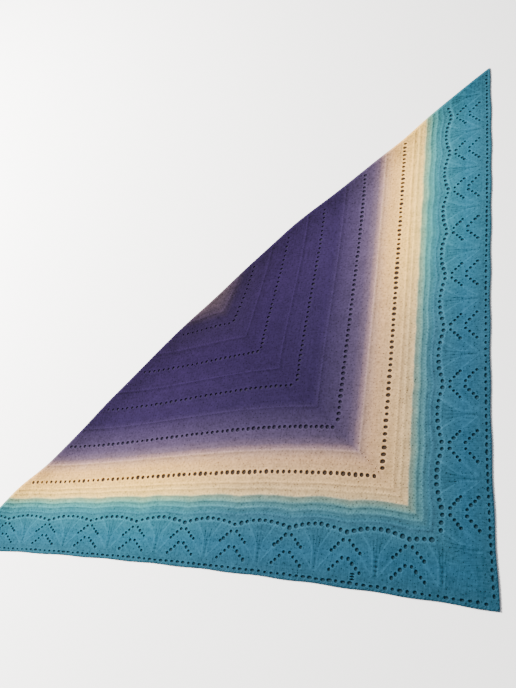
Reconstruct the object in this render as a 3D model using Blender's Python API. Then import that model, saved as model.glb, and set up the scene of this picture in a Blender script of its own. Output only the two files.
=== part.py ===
"""A hand-knitted triangular lace shawl, blocked and lying flat.

The shawl is knitted from the middle of its neck edge downwards, in two halves that meet at a spine.
Every row is a chevron: it runs along one short side, turns at the spine and runs along the other.
Seen from above with the neck edge at the top, a row sits at a depth, measured inwards from the
short side, and a stitch of it at a distance along the short side, measured from the point.

Units are metres, +Z is up, the underside is flat on Z = 0 and the neck edge faces +Y.
"""

from collections import namedtuple
from functools import lru_cache
import math

import bpy
import bmesh
from mathutils import Vector
from mathutils.geometry import delaunay_2d_cdt

# Cloth
BASE = 0.0017
RIDGE_RISE = 0.0007
RIB_RISE = 0.0006
SEAM = 0.0003
RIDGE_HALF = 0.0022
RIB_HALF = 0.0016
END_MARGIN = 0.0022

# Neck edge: a garter strip along the long side, bowed up in the middle, pulled out at the left wing, and
# hanging in shallow swells
EDGE_WIDTH = 0.0060
NECK_LEVEL = 0.737
NECK_BOW = 0.036
NECK_BOW_MIDDLE = 0.020
NECK_BOW_HALF = 0.640
PULL = 0.008
PULL_START = -0.465
PULL_REACH = 0.110
WING_BEND = 0.520
WING_REACH = 0.200
WING_DROP = 0.0124
Swell = namedtuple("Swell", "middle half_width rise")
SWELLS = (
    Swell(0.000, 0.075, -0.0042),
    Swell(0.230, 0.070, 0.0052),
    Swell(0.500, 0.050, -0.0034),
    Swell(-0.310, 0.050, 0.0020),
    Swell(-0.560, 0.050, 0.0025),
)

# Depths of the rows where one stretch of the shawl changes to the next
BIND_OFF_TOP = 0.0030
BORDER_TOP = 0.0897
BAND_TOP = 0.2035

# How each half was blocked: where four stitches of a row lie, as a real distance from the short side
Row = namedtuple("Row", "depth right left")
Blocked = namedtuple("Blocked", "spine third two_thirds wing")
ROWS = (
    Row(0.0000, Blocked(-0.002, 0.0065, 0.0015, 0.000), Blocked(-0.0175, 0.0017, 0.0096, 0.0055)),
    Row(0.0765, Blocked(0.0745, 0.079, 0.0775, 0.073), Blocked(0.068, 0.081, 0.0765, 0.070)),
    Row(0.1650, Blocked(0.1688, 0.1659, 0.165, 0.1644), Blocked(0.1635, 0.1693, 0.1551, 0.1442)),
    Row(0.2450, Blocked(0.250, 0.2469, 0.243, 0.2438), Blocked(0.2475, 0.2475, 0.2299, 0.219)),
    Row(0.3340, Blocked(0.334, 0.3312, 0.3246, 0.325), Blocked(0.330, 0.323, 0.3056, 0.298)),
    Row(0.4120, Blocked(0.4183, 0.4105, 0.4006, 0.3958), Blocked(0.406, 0.394, 0.383, 0.377)),
    Row(0.4840, Blocked(0.491, 0.478, 0.469, 0.462), Blocked(0.4745, 0.470, 0.4616, 0.4575)),
    Row(0.5600, Blocked(0.567, 0.559, 0.552, 0.546), Blocked(0.5505, 0.547, 0.540, 0.5365)),
)

# The lace repeat of the border: where each dip of the wavy row lies along the short side, as blocked
DIPS = {
    "right": (0.113, 0.214, 0.317, 0.422, 0.525, 0.622, 0.717, 0.811, 0.906),
    "left": (0.121, 0.217, 0.313, 0.412, 0.510, 0.612, 0.715, 0.818, 0.922),
}
WAVE_SHIFT = {"right": 0.5, "left": 0.0}
DIP_DEPTH = 0.0750
WAVE_RISE = 0.0092
CORNER_RISE = 0.45
LEAN = {"right": 0.0050, "left": 0.0}
LEAN_REACH = 0.420
WAVE_ABOVE = {
    "right": ((0.0750, 1.0), (0.0910, 0.45), (0.1040, 0.22), (0.1150, 0.16), (0.1300, 0.05), (0.1400, 0.0)),
    "left": ((0.0750, 1.0), (0.0900, 0.45), (0.1220, 0.30), (0.1500, 0.06), (0.1650, 0.0)),
}
WAVE_EYELETS = 9
CUT_WAVE_EYELETS = (-4, -2, 0, 2, 4)
OUTER_V_DROP = 0.0110
INNER_V_DROP = 0.0362
V_FIRST = 0.0051
SCALLOP = 0.0012
SCALLOP_STEPS = 4
SCALLOP_CLEAR = 0.020

# Fan ribs between two dips: each a line of places, as depth and distance from the fan's middle
FAN_RIBS = (
    ((0.0730, 0.0219), (0.0500, 0.0052), (0.0180, 0.0040)),
    ((0.0450, 0.0255), (0.0355, 0.0177), (0.0260, 0.0099)),
)

# Eyelets: half widths along and across the row
Eyelet = namedtuple("Eyelet", "along across")
BAND_EYELET = Eyelet(0.0028, 0.0034)
WAVE_EYELET = Eyelet(0.0029, 0.0029)
V_EYELET = Eyelet(0.0027, 0.0029)
EYELET_SIDES = 6
EYELET_MARGIN = 0.0075
BAND_EYELET_DEPTH = 0.1650
Spacing = namedtuple("Spacing", "first near far")
BAND_SPACING = {"right": Spacing(0.014, 0.0115, 0.0102), "left": Spacing(0.012, 0.0102, 0.0120)}

# Garter ridges, each a row of purl bumps, by depth
BAND_RIDGES = (0.0925, 0.1027, 0.1132, 0.1242, 0.1372, 0.1480)
BODY_RIDGES = (0.2062, 0.2885, 0.3720, 0.4495, 0.5145)
STATIONS = 12
WAVY_STATIONS = 40
SPINE_POINTS = 6
NECK_STEP = 0.012
SHORTEST_ROW = 0.001
SOLVER_STEPS = 30
POINTS_MERGE = 1e-7

HALVES = {"right": 1, "left": -1}
COLOURS = {
    "neck_edge": (0.13, 0.10, 0.09),
    "body": (0.075, 0.055, 0.17),
    "band": (0.70, 0.52, 0.36),
    "border": (0.055, 0.25, 0.33),
    "bind_off": (0.045, 0.20, 0.30),
}


def through_four(values, t):
    """The cubic through four values at 0, one third, two thirds and 1."""
    a, b, c, d = values
    return (
        a * (1 - 3 * t) * (1 - 1.5 * t) * (1 - t)
        + b * 9 * t * (1 - 1.5 * t) * (1 - t)
        + c * -4.5 * t * (1 - 3 * t) * (1 - t)
        + d * t * (1 - 3 * t) * (1 - 1.5 * t)
    )


def blocked_values(half, depth):
    """Where the row's four stitches lie, between the two nearest rows of the table."""
    upper = next((i for i, row in enumerate(ROWS) if row.depth > depth), len(ROWS) - 1)
    upper = max(upper, 1)
    low, high = ROWS[upper - 1], ROWS[upper]
    share = (depth - low.depth) / (high.depth - low.depth)
    pairs = zip(getattr(low, half), getattr(high, half))
    return [a + share * (b - a) for a, b in pairs]


def neck_line(x, inset):
    """Height of the neck edge at x, or of a line that runs inset below it."""
    bow = math.cos(0.5 * math.pi * min(abs(x - NECK_BOW_MIDDLE) / NECK_BOW_HALF, 1.0)) ** 2
    bend = max(0.0, abs(x) - WING_BEND) / WING_REACH
    share = min(max((PULL_START - x) / PULL_REACH, 0.0), 1.0)
    pull = share * share * (3.0 - 2.0 * share)
    waves = sum(swell.rise * math.exp(-(((x - swell.middle) / swell.half_width) ** 2)) for swell in SWELLS)
    return NECK_LEVEL + NECK_BOW * bow + PULL * pull - WING_DROP * bend**2 + waves - inset


def turned(half, across, along):
    """Distance from the short side and along it, as x and y with the spine upright."""
    u, v = (across, along) if half == "right" else (along, across)
    return (v - u) / math.sqrt(2), (u + v) / math.sqrt(2)


def row_start(half, depth):
    """Where along the short side a row leaves the spine."""
    other = "left" if half == "right" else "right"
    return blocked_values(other, depth)[0]


@lru_cache(maxsize=None)
def row_end(half, depth):
    """Where along the short side a row meets the neck edge."""
    across = blocked_values(half, depth)[3]
    along = NECK_LEVEL
    for _ in range(SOLVER_STEPS):
        x, _y = turned(half, across, along)
        along = math.sqrt(2) * neck_line(x, 0.0) - across
    return max(along, row_start(half, depth) + SHORTEST_ROW)


def row_cut(half, depth, inset):
    """Where along the short side a row meets a line that runs inset below the neck edge."""
    low, high = row_start(half, depth), row_end(half, depth)
    for _ in range(SOLVER_STEPS):
        middle = 0.5 * (low + high)
        x, y = place(half, depth, middle)
        low, high = (middle, high) if y < neck_line(x, inset) else (low, middle)
    return low


def place(half, depth, along):
    """A stitch at a depth and a distance along the short side, as a point of the plane."""
    start = row_start(half, depth)
    t = (along - start) / (row_end(half, depth) - start)
    return turned(half, through_four(blocked_values(half, depth), t), along)


def spine(depth):
    return turned("right", blocked_values("right", depth)[0], row_start("right", depth))


def spine_top(inset):
    """Depth at which the spine meets the neck line."""
    low, high = BAND_TOP, ROWS[-1].depth
    for _ in range(SOLVER_STEPS):
        middle = 0.5 * (low + high)
        x, y = spine(middle)
        low, high = (middle, high) if y < neck_line(x, inset) else (low, middle)
    return low


def beside_spine(half, depth):
    x, y = spine(depth)
    return x + HALVES[half] * 0.5 * SEAM, y


def spread(first, last, count):
    return [first + (last - first) * i / (count - 1) for i in range(count)]


def dip(half, repeat):
    """Where the wavy row dips, with the first and last pitch carried on past the table."""
    dips = DIPS[half]
    if repeat < 0:
        return dips[0] + repeat * (dips[1] - dips[0])
    if repeat >= len(dips):
        return dips[-1] + (repeat - len(dips) + 1) * (dips[-1] - dips[-2])
    return dips[repeat]


def across_repeat(half, repeat, phase):
    """Where along the short side a phase of a repeat lies: 0 at its dip, 0.5 half way to the next."""
    neighbour = repeat + (1 if phase > 0 else -1)
    return dip(half, repeat) + abs(phase) * (dip(half, neighbour) - dip(half, repeat))


def row_points(half, depth, inset, count=STATIONS):
    """Points of a row from beside the spine to the neck line."""
    start, end = row_start(half, depth), row_cut(half, depth, inset)
    inner = [place(half, depth, along) for along in spread(start, end, count)[1:]]
    return [beside_spine(half, depth)] + inner


def scalloped_points(half, inset):
    """The bound-off edge, which swells a little at each dip of the lace."""
    end = row_cut(half, 0.0, inset)
    points = [beside_spine(half, 0.0)]
    for quarter in range(-SCALLOP_STEPS, (len(DIPS[half]) + 1) * SCALLOP_STEPS):
        repeat, step = divmod(quarter, SCALLOP_STEPS)
        along = across_repeat(half, repeat, step / SCALLOP_STEPS)
        if SCALLOP_CLEAR < along < end - SCALLOP_CLEAR:
            swell = 0.5 + 0.5 * math.cos(2 * math.pi * step / SCALLOP_STEPS)
            points.append(place(half, -SCALLOP * swell, along))
    return points + [place(half, 0.0, end)]


def below_neck(first, last, inset):
    """Points between two places on a line that runs inset below the neck edge."""
    count = 2 + int(abs(last - first) / NECK_STEP)
    return [(x, neck_line(x, inset)) for x in spread(first, last, count)[1:-1]]


def strip_outline(half, low, high):
    """A stretch of cloth between two rows, from the spine to the neck strip."""
    inset = EDGE_WIDTH + 0.5 * SEAM
    lower = scalloped_points(half, inset) if low == 0.0 else row_points(half, low + 0.5 * SEAM, inset)
    upper = row_points(half, high - 0.5 * SEAM, inset)
    return lower + below_neck(lower[-1][0], upper[-1][0], inset) + upper[::-1]


def body_outline(half):
    """The plain middle of a half, from its lowest row up to the neck strip."""
    inset = EDGE_WIDTH + 0.5 * SEAM
    lower = row_points(half, BAND_TOP + 0.5 * SEAM, inset)
    top = beside_spine(half, spine_top(inset))
    upper = below_neck(lower[-1][0], top[0], inset)
    down = [beside_spine(half, depth) for depth in spread(spine_top(inset), BAND_TOP, SPINE_POINTS)[:-1]]
    return lower + upper + down


def neck_outline(half):
    """The garter strip along the neck edge, from the spine to the wing tip."""
    inset = EDGE_WIDTH - 0.5 * SEAM
    tip = place(half, 0.0, row_end(half, 0.0))
    inner_tip = place(half, 0.0, row_cut(half, 0.0, inset))
    top, inner_top = beside_spine(half, spine_top(0.0)), beside_spine(half, spine_top(inset))
    outer, inner = below_neck(top[0], tip[0], 0.0), below_neck(inner_tip[0], inner_top[0], inset)
    return [top] + outer + [tip, inner_tip] + inner + [inner_top]


def hole(half, depth, along, eyelet):
    loop = []
    for i in range(EYELET_SIDES):
        angle = 2 * math.pi * (i + 0.5) / EYELET_SIDES
        across_by, along_by = eyelet.across * math.sin(angle), eyelet.along * math.cos(angle)
        loop.append(place(half, depth + across_by, along + along_by))
    return loop


def band_holes(half):
    """The row of large eyelets through the pale band."""
    start, end = row_start(half, BAND_EYELET_DEPTH), row_end(half, BAND_EYELET_DEPTH)
    last = row_cut(half, BAND_EYELET_DEPTH, EDGE_WIDTH) - EYELET_MARGIN
    spacing = BAND_SPACING[half]
    holes, along = [], start + spacing.first
    while along < last:
        holes.append(hole(half, BAND_EYELET_DEPTH, along, BAND_EYELET))
        along += spacing.near + (spacing.far - spacing.near) * (along - start) / (end - start)
    return holes


def wave_rise(repeat, phase):
    """How far the wavy row rises, where phase is 0 at a dip and half way to the next is 0.5."""
    corner = repeat < 0 or (repeat == 0 and phase < 0)
    return WAVE_RISE * (CORNER_RISE if corner else 1.0) * abs(math.sin(math.pi * phase))


def lean(half, along, depth):
    """How far the columns below the wavy row lean towards the point of the shawl."""
    below = min(max(1.0 - depth / DIP_DEPTH, 0.0), 1.0)
    return LEAN[half] * below * min(max(1.0 - along / LEAN_REACH, 0.0), 1.0)


def wave_above(half, depth):
    """How much of the wave a row above the wavy row still follows."""
    table = WAVE_ABOVE[half]
    for (low, more), (high, less) in zip(table, table[1:]):
        if depth < high:
            return more + (less - more) * (depth - low) / (high - low)
    return 0.0


def repeat_and_phase(half, along):
    """The repeat whose dip lies nearest, and how far along is from that dip, in repeats."""
    repeat = min(range(-2, len(DIPS[half]) + 2), key=lambda number: abs(dip(half, number) - along))
    neighbour = repeat + (1 if along > dip(half, repeat) else -1)
    share = (along - dip(half, repeat)) / abs(dip(half, neighbour) - dip(half, repeat))
    return repeat, share


def on_cloth(half, depth, along):
    """Whether an eyelet there stays whole, clear of the spine and of the neck strip."""
    start, end = row_start(half, depth), row_cut(half, depth, EDGE_WIDTH)
    return start + EYELET_MARGIN < along < end - EYELET_MARGIN


def border_holes(half):
    """The largest eyelets of each repeat: five of the wavy row and the heads of the two chevrons."""
    wanted = []
    for repeat, middle in enumerate(DIPS[half]):
        for step in CUT_WAVE_EYELETS:
            phase = (step + WAVE_SHIFT[half]) / WAVE_EYELETS
            depth = DIP_DEPTH + wave_rise(repeat, phase)
            wanted.append((depth, across_repeat(half, repeat, phase), WAVE_EYELET))
        for drop in (OUTER_V_DROP, INNER_V_DROP):
            depth = DIP_DEPTH - drop
            for side in (-1, 1):
                wanted.append((depth, middle - lean(half, middle, depth) + side * V_FIRST, V_EYELET))
    return [hole(half, *eyelet) for eyelet in wanted if on_cloth(half, *eyelet[:2])]


def row_ridge(half, depth):
    """A garter ridge: its crest and its two feet, as three lines along a row and its waves."""
    share = wave_above(half, depth)
    lines = []
    for offset, rise in ((-RIDGE_HALF, 0.0), (0.0, RIDGE_RISE), (RIDGE_HALF, 0.0)):
        level = depth + offset
        start = row_start(half, level) + END_MARGIN
        end = row_cut(half, level, EDGE_WIDTH) - 2 * END_MARGIN - share * WAVE_RISE
        line = []
        for along in spread(start, end, WAVY_STATIONS if share > 0 else STATIONS):
            wave = share * wave_rise(*repeat_and_phase(half, along))
            line.append(place(half, level + wave, along))
        lines.append((line, BASE + rise))
    return lines


def fan_rib(half, middle, side, rib):
    """A raised rib of the fan: its crest and its two feet, as three lines down the fan."""
    lines = []
    for offset, rise in ((-RIB_HALF, 0.0), (0.0, RIB_RISE), (RIB_HALF, 0.0)):
        line = []
        for depth, reach in rib:
            along = middle - lean(half, middle, depth) + side * (reach + offset)
            line.append(place(half, depth, along))
        lines.append((line, BASE + rise))
    return lines


def border_ribs(half):
    lines = []
    for repeat in range(len(DIPS[half]) - 1):
        middle = 0.5 * (dip(half, repeat) + dip(half, repeat + 1))
        for rib in FAN_RIBS:
            for side in (-1, 1):
                lines += fan_rib(half, middle, side, rib)
    return lines


def inside(point, loop):
    """Whether a point lies in a closed outline, by counting the sides that it has to its right."""
    x, y = point
    crossings = 0
    for (x0, y0), (x1, y1) in zip(loop, loop[1:] + loop[:1]):
        if (y0 > y) != (y1 > y) and x < x0 + (y - y0) / (y1 - y0) * (x1 - x0):
            crossings += 1
    return crossings % 2 == 1


def filled(outline, holes, lines):
    """Triangles of a flat outline with holes, its corners kept in order, and lines laid into it."""
    points, edges, heights, owners = [], [], [], []
    for number, loop in enumerate([outline] + holes):
        first = len(points)
        points += loop
        edges += [(first + i, first + (i + 1) % len(loop)) for i in range(len(loop))]
        heights += [BASE] * len(loop)
        owners += [number] * len(loop)
    for line, height in lines:
        first = len(points)
        points += line
        edges += [(first + i, first + i + 1) for i in range(len(line) - 1)]
        heights += [height] * len(line)
        owners += [-1] * len(line)
    found = delaunay_2d_cdt([Vector(p) for p in points], edges, [], 1, POINTS_MERGE)
    spots, faces, sources = found[0], found[2], found[3]
    spot_of = {source: i for i, group in enumerate(sources) for source in group}
    spot_heights = [max((heights[s] for s in group), default=BASE) for group in sources]
    spot_owners = [owners[group[0]] if group else -1 for group in sources]
    kept = []
    for face in faces:
        around = {spot_owners[i] for i in face}
        centre = sum((spots[i] for i in face), Vector((0, 0))) / 3
        if (len(around) > 1 or around <= {0, -1}) and inside(centre, outline):
            kept.append(tuple(face))
    return spots, kept, spot_heights, spot_of


def plate(name, outline, holes, lines, centre, collection, material):
    """A wall of cloth: a flat underside, a top with its ridges raised, and eyelets right through."""
    mesh = bmesh.new()
    sides = []
    for flat, relief in ((False, lines), (True, [])):
        spots, faces, heights, spot_of = filled(outline, holes, relief)
        corners = []
        for spot, height in zip(spots, heights):
            level = 0.0 if flat else height
            corners.append(mesh.verts.new((spot.x - centre[0], spot.y - centre[1], level)))
        for face in faces:
            mesh.faces.new([corners[i] for i in face])
        sides.append((corners, spot_of))
    first = 0
    for loop in [outline] + holes:
        for i in range(len(loop)):
            ends = (first + i, first + (i + 1) % len(loop))
            (top, top_of), (bottom, bottom_of) = sides
            a, b = (top[top_of[end]] for end in ends)
            c, d = (bottom[bottom_of[end]] for end in ends)
            mesh.faces.new((a, b, d, c))
        first += len(loop)
    bmesh.ops.triangulate(mesh, faces=mesh.faces[:])
    bmesh.ops.recalc_face_normals(mesh, faces=mesh.faces[:])
    if mesh.calc_volume(signed=True) < 0:
        bmesh.ops.reverse_faces(mesh, faces=mesh.faces[:])
    data = bpy.data.meshes.new(name)
    mesh.to_mesh(data)
    mesh.free()
    data.materials.append(material)
    collection.objects.link(bpy.data.objects.new(name, data))
    print(name, len(data.polygons), "triangles")


def yarn(name):
    material = bpy.data.materials.new(name)
    material.use_nodes = True
    shader = material.node_tree.nodes["Principled BSDF"]
    shader.inputs["Base Color"].default_value = (*COLOURS[name], 1.0)
    shader.inputs["Roughness"].default_value = 0.9
    shader.inputs["Metallic"].default_value = 0.0
    return material


def pieces_of(half):
    """Each piece of a half: its name, outline, eyelets and ridge lines."""
    ridges = {name: [] for name in ("band", "body")}
    for name, depths in (("band", BAND_RIDGES), ("body", BODY_RIDGES)):
        for depth in depths:
            ridges[name] += row_ridge(half, depth)
    return (
        ("neck_edge", neck_outline(half), [], []),
        ("body", body_outline(half), [], ridges["body"]),
        ("band", strip_outline(half, BORDER_TOP, BAND_TOP), band_holes(half), ridges["band"]),
        ("border", strip_outline(half, BIND_OFF_TOP, BORDER_TOP), border_holes(half), border_ribs(half)),
        ("bind_off", strip_outline(half, 0.0, BIND_OFF_TOP), [], []),
    )


def middle_of(outlines):
    """The middle of the box round all outlines, which becomes the origin."""
    xs = [x for outline in outlines for x, _ in outline]
    ys = [y for outline in outlines for _, y in outline]
    return 0.5 * (min(xs) + max(xs)), 0.5 * (min(ys) + max(ys))


def main():
    for obj in list(bpy.data.objects):
        bpy.data.objects.remove(obj, do_unlink=True)
    collection = bpy.data.collections.new("shawl")
    bpy.context.scene.collection.children.link(collection)
    materials = {name: yarn(name) for name in COLOURS}
    made = {half: pieces_of(half) for half in HALVES}
    centre = middle_of([piece[1] for pieces in made.values() for piece in pieces])
    print("origin in the spine's own frame:", [round(value, 5) for value in centre])
    eyelets = 0
    for half, pieces in made.items():
        for name, outline, holes, lines in pieces:
            eyelets += len(holes)
            plate(f"{name}_{half}", outline, holes, lines, centre, collection, materials[name])
    print(eyelets, "eyelets cut through")


main()
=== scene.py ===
# %% [markdown]
# # A knitted lace shawl, laid out flat
# This lesson dresses a triangular shawl: a plain middle, a pale band with eyelets and purl ridges, and
# a lace border. The solids of the part already give its outline. Here each of them is replaced by a
# fine shell of the same form, with every eyelet open, every stitch raised and the yarn's own dye.
# We start by opening the part, which never moves.

# %% Open the part
import math
from collections import namedtuple

import bpy
import numpy as np
from mathutils import Matrix, Vector
from mathutils.geometry import delaunay_2d_cdt


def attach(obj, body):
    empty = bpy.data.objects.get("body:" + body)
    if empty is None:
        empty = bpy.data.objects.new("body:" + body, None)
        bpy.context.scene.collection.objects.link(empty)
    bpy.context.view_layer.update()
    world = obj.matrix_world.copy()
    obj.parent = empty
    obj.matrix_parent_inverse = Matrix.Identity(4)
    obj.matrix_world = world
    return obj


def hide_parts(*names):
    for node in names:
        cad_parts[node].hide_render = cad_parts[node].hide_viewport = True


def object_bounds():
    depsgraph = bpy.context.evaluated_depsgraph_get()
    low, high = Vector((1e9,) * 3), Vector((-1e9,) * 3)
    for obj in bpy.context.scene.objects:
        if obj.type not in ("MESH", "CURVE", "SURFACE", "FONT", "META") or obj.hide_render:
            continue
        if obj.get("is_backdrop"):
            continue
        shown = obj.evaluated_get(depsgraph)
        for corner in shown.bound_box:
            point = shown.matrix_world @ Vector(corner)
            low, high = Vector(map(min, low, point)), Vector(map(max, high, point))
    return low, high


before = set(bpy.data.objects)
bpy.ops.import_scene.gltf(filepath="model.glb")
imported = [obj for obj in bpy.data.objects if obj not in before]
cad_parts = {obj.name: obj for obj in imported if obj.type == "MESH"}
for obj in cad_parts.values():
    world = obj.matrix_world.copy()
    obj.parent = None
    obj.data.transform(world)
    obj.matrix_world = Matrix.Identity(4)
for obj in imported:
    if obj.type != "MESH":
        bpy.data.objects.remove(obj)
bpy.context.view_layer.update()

print("nodes:", sorted(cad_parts))

# %% [markdown]
# The camera looks down at about 51 degrees and is rolled by some 42 degrees, so that one lower edge of
# the shawl runs up the picture and the other along its foot. Its place was worked out from the right
# angle at the point of the shawl and the even spacing of the lace. A camera could be aimed with a
# constraint, but a roll is clearer as three axes of its own.

# %% Camera
EYE = Vector((-0.01557, -0.57959, 0.97523))
EYE_RIGHT = Vector((0.73659, -0.52701, -0.42391))
EYE_FORWARD = Vector((0.00980, 0.63502, -0.77243))
LENS = 34.694

camera = bpy.data.objects.new("camera", bpy.data.cameras.new("camera"))
bpy.context.scene.collection.objects.link(camera)
camera.data.lens = LENS
camera.data.clip_end = 50.0
forward = EYE_FORWARD.normalized()
right = (EYE_RIGHT - EYE_RIGHT.dot(forward) * forward).normalized()
axes = Matrix((right, right.cross(forward), -forward)).transposed()
camera.matrix_world = Matrix.Translation(EYE) @ axes.to_4x4()
bpy.context.scene.camera = camera
print("camera", round(math.degrees(math.asin(-forward.z)), 1), "degrees above the floor")

# %% [markdown]
# The shawl lies on a large pale floor. One flat polygon is enough for it, kept a millimetre below the
# shawl, which leaves room for the dark sheets that come under the eyelets later.

# %% Floor
FLOOR_LEVEL = -0.0012
FLOOR_SIZE = 12.0


def plain(name, colour, roughness):
    """A material of one colour, for the stage."""
    made = bpy.data.materials.new(name)
    made.use_nodes = True
    shader = made.node_tree.nodes["Principled BSDF"]
    shader.inputs["Base Color"].default_value = (*colour, 1.0)
    shader.inputs["Roughness"].default_value = roughness
    return made


def flat_piece(name, points, level, material):
    """One flat polygon, facing up."""
    mesh = bpy.data.meshes.new(name)
    mesh.from_pydata([(x, y, level) for x, y in points], [], [range(len(points))])
    mesh.materials.append(material)
    made = bpy.data.objects.new(name, mesh)
    bpy.context.scene.collection.objects.link(made)
    return made


corner = 0.5 * FLOOR_SIZE
floor_corners = ((-corner, -corner), (corner, -corner), (corner, corner), (-corner, corner))
floor = flat_piece("floor", floor_corners, FLOOR_LEVEL, plain("pale_floor", (0.90, 0.90, 0.90), 0.9))
floor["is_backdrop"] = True
print("the floor is", FLOOR_SIZE, "m wide")

# %% [markdown]
# An even pale sky and one broad lamp give the soft light of a bright room. Studios often light the
# ground on its own to make it nearly white, and a second lamp does that here: each lamp is linked to
# what it lights. A brighter sky would do so too, but would wash out the dark wool.

# %% Light
SKY = (0.93, 0.95, 1.0)
SKY_STRENGTH = 0.55
LAMP_PLACE = Vector((-0.10, 1.20, 1.20))
LAMP_SIZE = 1.3
LAMP_POWER = 115.0
FLOOR_LAMP_PLACE = Vector((-1.40, 2.03, 2.13))
FLOOR_LAMP_SIZE = 1.8
FLOOR_LAMP_POWER = 850.0
LAMP_COLOUR = (1.0, 0.97, 0.93)

world = bpy.data.worlds.new("soft_sky")
bpy.context.scene.world = world
world.use_nodes = True
world.node_tree.nodes["Background"].inputs["Color"].default_value = (*SKY, 1.0)
world.node_tree.nodes["Background"].inputs["Strength"].default_value = SKY_STRENGTH


def studio_lamp(name, middle, size, power):
    """A broad round lamp that faces down, and the collection of the things that it lights."""
    made = bpy.data.objects.new(name, bpy.data.lights.new(name, "AREA"))
    made.data.shape = "DISK"
    made.data.size = size
    made.data.energy = power
    made.data.color = LAMP_COLOUR
    made.location = middle
    bpy.context.scene.collection.objects.link(made)
    lit = bpy.data.collections.new(f"lit_by_{name}")
    made.light_linking.receiver_collection = lit
    return lit


lit_cloth = studio_lamp("lamp", LAMP_PLACE, LAMP_SIZE, LAMP_POWER)
lit_floor = studio_lamp("floor_lamp", FLOOR_LAMP_PLACE, FLOOR_LAMP_SIZE, FLOOR_LAMP_POWER)
lit_floor.objects.link(floor)
print("the lamp hangs", LAMP_PLACE.z, "m over the floor")

# %% [markdown]
# ## Where a stitch lies
# The shawl grows from the middle of its long neck edge in two halves that meet at a spine. A row lies
# at a depth, measured in from the short lower edge, and a stitch of it at a distance along that edge,
# measured from the point. The cloth was stretched by hand, so rows bow a little. One way is to bend
# a finished mesh; it is easier to keep a short table of where four stitches of some rows lie, and to
# read every point of the cloth through it.

# %% The table of rows, as stretched
Row = namedtuple("Row", "depth right left")
Blocked = namedtuple("Blocked", "spine third two_thirds wing")
ROWS = (
    Row(0.0000, Blocked(-0.002, 0.0065, 0.0015, 0.000), Blocked(-0.0175, 0.0017, 0.0096, 0.0055)),
    Row(0.0765, Blocked(0.0745, 0.079, 0.0775, 0.073), Blocked(0.068, 0.081, 0.0765, 0.070)),
    Row(0.1650, Blocked(0.1688, 0.1659, 0.165, 0.1644), Blocked(0.1635, 0.1693, 0.1551, 0.1442)),
    Row(0.2450, Blocked(0.250, 0.2469, 0.243, 0.2438), Blocked(0.2475, 0.2475, 0.2299, 0.219)),
    Row(0.3340, Blocked(0.334, 0.3312, 0.3246, 0.325), Blocked(0.330, 0.323, 0.3056, 0.298)),
    Row(0.4120, Blocked(0.4183, 0.4105, 0.4006, 0.3958), Blocked(0.406, 0.394, 0.383, 0.377)),
    Row(0.4840, Blocked(0.491, 0.478, 0.469, 0.462), Blocked(0.4745, 0.470, 0.4616, 0.4575)),
    Row(0.5600, Blocked(0.567, 0.559, 0.552, 0.546), Blocked(0.5505, 0.547, 0.540, 0.5365)),
)
HALVES = {"right": 1, "left": -1}
OTHER = {"right": "left", "left": "right"}
ROW_DEPTHS = np.array([row.depth for row in ROWS])
TABLES = {half: np.array([getattr(row, half) for row in ROWS]) for half in HALVES}
ORIGIN = np.array((-0.0001, 0.37864))
ROOT2 = math.sqrt(2)


def blocked(half, depth):
    """How far from the short side the row's four measured stitches lie, for each depth."""
    upper = np.clip(np.searchsorted(ROW_DEPTHS, depth, side="right"), 1, len(ROWS) - 1)
    low, high = ROW_DEPTHS[upper - 1], ROW_DEPTHS[upper]
    share = ((depth - low) / (high - low))[..., None]
    return TABLES[half][upper - 1] + share * (TABLES[half][upper] - TABLES[half][upper - 1])


def through_four(values, t):
    """The cubic through four values at 0, one third, two thirds and 1."""
    a, b, c, d = np.moveaxis(values, -1, 0)
    return (
        a * (1 - 3 * t) * (1 - 1.5 * t) * (1 - t)
        + b * 9 * t * (1 - 1.5 * t) * (1 - t)
        + c * -4.5 * t * (1 - 3 * t) * (1 - t)
        + d * t * (1 - 3 * t) * (1 - 1.5 * t)
    )


def turned(half, across, along):
    """Distance from the short side and along it, as x and y with the spine upright."""
    u, v = (across, along) if half == "right" else (along, across)
    return np.stack(((v - u) / ROOT2, (u + v) / ROOT2), -1)


print(len(ROWS), "rows measured on each half")

# %% [markdown]
# The neck edge closes every row. It bows up in the middle, droops at the wings and was pulled out a
# little near one of them. In between it hangs in shallow waves, kept here as a list of swells.

# %% Neck edge line
NECK_LEVEL = 0.737
NECK_BOW = 0.036
NECK_BOW_MIDDLE = 0.020
NECK_BOW_HALF = 0.640
PULL = 0.008
PULL_START = -0.465
PULL_REACH = 0.110
WING_BEND = 0.520
WING_REACH = 0.200
WING_DROP = 0.0124
Swell = namedtuple("Swell", "middle half_width rise")
SWELLS = (
    Swell(0.000, 0.075, -0.0042),
    Swell(0.230, 0.070, 0.0052),
    Swell(0.500, 0.050, -0.0034),
    Swell(-0.310, 0.050, 0.0020),
    Swell(-0.560, 0.050, 0.0025),
)


def neck_line(x, inset=0.0):
    """Height of the neck edge at x, or of a line that runs inset below it."""
    bow = np.cos(0.5 * np.pi * np.minimum(np.abs(x - NECK_BOW_MIDDLE) / NECK_BOW_HALF, 1.0)) ** 2
    bend = np.maximum(0.0, np.abs(x) - WING_BEND) / WING_REACH
    share = np.clip((PULL_START - x) / PULL_REACH, 0.0, 1.0)
    pull = share * share * (3.0 - 2.0 * share)
    waves = sum(swell.rise * np.exp(-(((x - swell.middle) / swell.half_width) ** 2)) for swell in SWELLS)
    return NECK_LEVEL + NECK_BOW * bow + PULL * pull - WING_DROP * bend**2 + waves - inset


print("the neck edge lies", round(float(neck_line(0.0)), 3), "m from the point of the shawl")

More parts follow.
